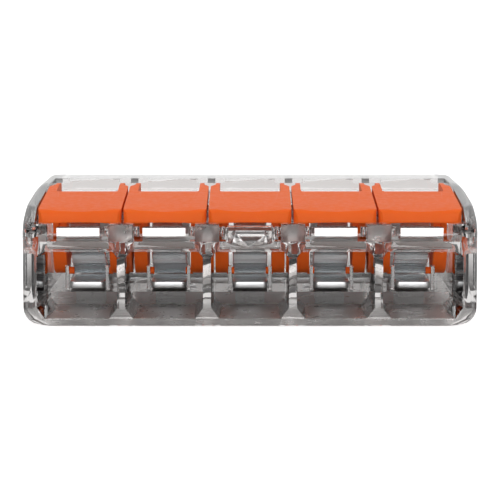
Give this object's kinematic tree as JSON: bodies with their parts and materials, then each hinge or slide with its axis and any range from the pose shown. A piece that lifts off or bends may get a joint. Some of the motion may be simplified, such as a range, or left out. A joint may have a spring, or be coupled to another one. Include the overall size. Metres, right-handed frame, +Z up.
{
  "type": "lever wire connector",
  "caption": "Compact clear-housed lever splicing connector with side-by-side wire entries, orange lift-up levers and inner clamping springs on a common busbar.",
  "frame": {"origin": "centre of the underside of the housing", "axes": "+X along the row of poles, -Y the side that the wires enter, +Z up towards the levers"},
  "size_m": [0.0298, 0.0186, 0.0083],
  "materials": {
    "clear_housing": "clear polycarbonate, polished mould surface",
    "lever_orange": "orange polycarbonate, fine satin mould texture on top",
    "spring_steel": "rolled stainless spring steel strip",
    "tinned_copper": "electrolytic copper, tin plated"
  },
  "bodies": {
    "housing_body": {"housing": "clear_housing", "rear_cover": "clear_housing", "busbar": "tinned_copper", "spring_clip_1": "spring_steel", "spring_clip_2": "spring_steel", "spring_clip_3": "spring_steel", "spring_clip_4": "spring_steel", "spring_clip_5": "spring_steel"},
    "lever_1": {"lever_1": "lever_orange"},
    "lever_2": {"lever_2": "lever_orange"},
    "lever_3": {"lever_3": "lever_orange"},
    "lever_4": {"lever_4": "lever_orange"},
    "lever_5": {"lever_5": "lever_orange"},
    "tongue_1": {"spring_tongue_1": "spring_steel"},
    "tongue_2": {"spring_tongue_2": "spring_steel"},
    "tongue_3": {"spring_tongue_3": "spring_steel"},
    "tongue_4": {"spring_tongue_4": "spring_steel"},
    "tongue_5": {"spring_tongue_5": "spring_steel"}
  },
  "joints": [
    {"name": "lever_1_lift", "type": "hinge", "parent": "housing_body", "child": "lever_1", "pos_m": [-0.0112, 0.0006, 0.0042], "axis": [-1, 0, 0], "range_deg": [0, 90]},
    {"name": "lever_2_lift", "type": "hinge", "parent": "housing_body", "child": "lever_2", "pos_m": [-0.0056, 0.0006, 0.0042], "axis": [-1, 0, 0], "range_deg": [0, 90]},
    {"name": "lever_3_lift", "type": "hinge", "parent": "housing_body", "child": "lever_3", "pos_m": [0, 0.0006, 0.0042], "axis": [-1, 0, 0], "range_deg": [0, 90]},
    {"name": "lever_4_lift", "type": "hinge", "parent": "housing_body", "child": "lever_4", "pos_m": [0.0056, 0.0006, 0.0042], "axis": [-1, 0, 0], "range_deg": [0, 90]},
    {"name": "lever_5_lift", "type": "hinge", "parent": "housing_body", "child": "lever_5", "pos_m": [0.0112, 0.0006, 0.0042], "axis": [-1, 0, 0], "range_deg": [0, 90]},
    {"name": "tongue_1_bend", "type": "hinge", "parent": "housing_body", "child": "tongue_1", "pos_m": [-0.0112, -0.0033, 0.00565], "axis": [1, 0, 0], "range_deg": [0, 30.2]},
    {"name": "tongue_2_bend", "type": "hinge", "parent": "housing_body", "child": "tongue_2", "pos_m": [-0.0056, -0.0033, 0.00565], "axis": [1, 0, 0], "range_deg": [0, 30.2]},
    {"name": "tongue_3_bend", "type": "hinge", "parent": "housing_body", "child": "tongue_3", "pos_m": [0, -0.0033, 0.00565], "axis": [1, 0, 0], "range_deg": [0, 30.2]},
    {"name": "tongue_4_bend", "type": "hinge", "parent": "housing_body", "child": "tongue_4", "pos_m": [0.0056, -0.0033, 0.00565], "axis": [1, 0, 0], "range_deg": [0, 30.2]},
    {"name": "tongue_5_bend", "type": "hinge", "parent": "housing_body", "child": "tongue_5", "pos_m": [0.0112, -0.0033, 0.00565], "axis": [1, 0, 0], "range_deg": [0, 30.2]}
  ],
  "couplings": [
    {"joint": "tongue_1_bend", "follows": "lever_1_lift", "ratio": 0.335},
    {"joint": "tongue_2_bend", "follows": "lever_2_lift", "ratio": 0.335},
    {"joint": "tongue_3_bend", "follows": "lever_3_lift", "ratio": 0.335},
    {"joint": "tongue_4_bend", "follows": "lever_4_lift", "ratio": 0.335},
    {"joint": "tongue_5_bend", "follows": "lever_5_lift", "ratio": 0.335}
  ]
}
